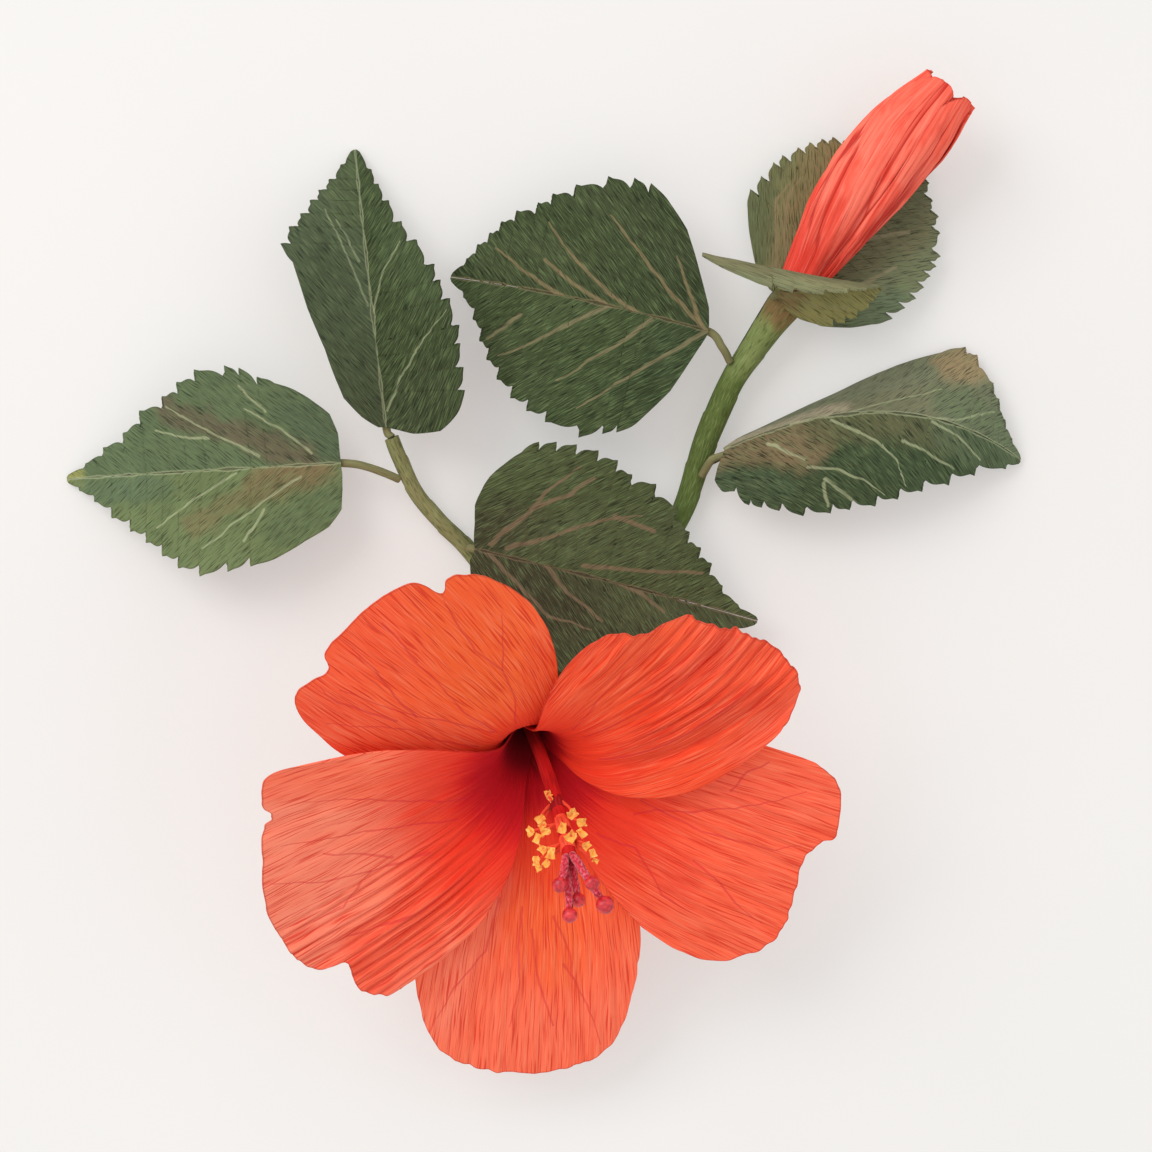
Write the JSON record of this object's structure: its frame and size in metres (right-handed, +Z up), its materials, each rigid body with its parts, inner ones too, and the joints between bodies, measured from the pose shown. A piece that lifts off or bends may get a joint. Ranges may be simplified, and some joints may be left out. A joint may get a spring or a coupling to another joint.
{
  "type": "paper flower",
  "caption": "Hand-made paper flower spray: an open trumpet flower, a rolled bud and serrated leaves on a wrapped wire stem, lying flat.",
  "frame": {"origin": "middle of the spray's footprint, on the table it lies on", "axes": "+Z up from the table, +Y from the main stem's cut end towards the bud's tip, +X towards the right leaf"},
  "size_m": [0.2383, 0.2462, 0.0998],
  "materials": {
    "petal_coral": "matt crepe",
    "petal_orange": "matt crepe",
    "column_red": "matt, wrapped",
    "anther_yellow": "matt",
    "style_magenta": "matt, wrapped",
    "stigma_crimson": "painted, low sheen",
    "calyx_green": "matt crepe",
    "leaf_dark": "matt crepe, painted veins",
    "leaf_olive": "matt crepe, painted veins",
    "stem_green": "matt, wrapped",
    "stalk_olive": "matt, wrapped",
    "bud_coral": "matt crepe",
    "core_white": "matt",
    "wire": "bare florist wire"
  },
  "bodies": {
    "root": {"petal_top_left": "petal_orange", "petal_top_right": "petal_orange", "petal_right": "petal_coral", "petal_bottom": "petal_coral", "petal_left": "petal_coral", "stamen_column": "column_red", "stamen_fringe_lower": "anther_yellow", "stamen_fringe_middle": "anther_yellow", "stamen_fringe_upper": "anther_yellow", "style_1": "style_magenta", "stigma_1": "stigma_crimson", "style_2": "style_magenta", "stigma_2": "stigma_crimson", "style_3": "style_magenta", "stigma_3": "stigma_crimson", "style_4": "style_magenta", "stigma_4": "stigma_crimson", "style_5": "style_magenta", "stigma_5": "stigma_crimson", "flower_calyx": "calyx_green", "flower_bracts": "calyx_green", "main_stem": "stem_green", "main_stem_wire": "wire", "left_twig": "stem_green", "left_twig_wire": "wire", "flower_stalk": "stem_green", "flower_stalk_wire": "wire", "leaf_far_left_half_1": "leaf_dark", "leaf_far_left_half_2": "leaf_olive", "leaf_far_left_stalk": "stalk_olive", "leaf_upper_left_half_1": "leaf_dark", "leaf_upper_left_half_2": "leaf_olive", "leaf_upper_left_stalk": "stalk_olive", "leaf_upper_middle_half_1": "leaf_dark", "leaf_upper_middle_half_2": "leaf_olive", "leaf_upper_middle_stalk": "stalk_olive", "leaf_centre_half_1": "leaf_dark", "leaf_centre_half_2": "leaf_olive", "leaf_centre_stalk": "stalk_olive", "leaf_right_half_1": "leaf_dark", "leaf_right_half_2": "leaf_olive", "leaf_right_stalk": "stalk_olive", "leaf_under_bud_half_1": "leaf_dark", "leaf_under_bud_half_2": "leaf_olive", "leaf_under_bud_stalk": "stalk_olive", "leaf_bract_half_1": "leaf_dark", "leaf_bract_half_2": "leaf_olive", "leaf_bract_stalk": "stalk_olive", "bud_petal_1": "bud_coral", "bud_petal_2": "bud_coral", "bud_petal_3": "bud_coral", "bud_petal_4": "bud_coral", "bud_petal_5": "bud_coral", "bud_core": "core_white"}
  },
  "joints": []
}
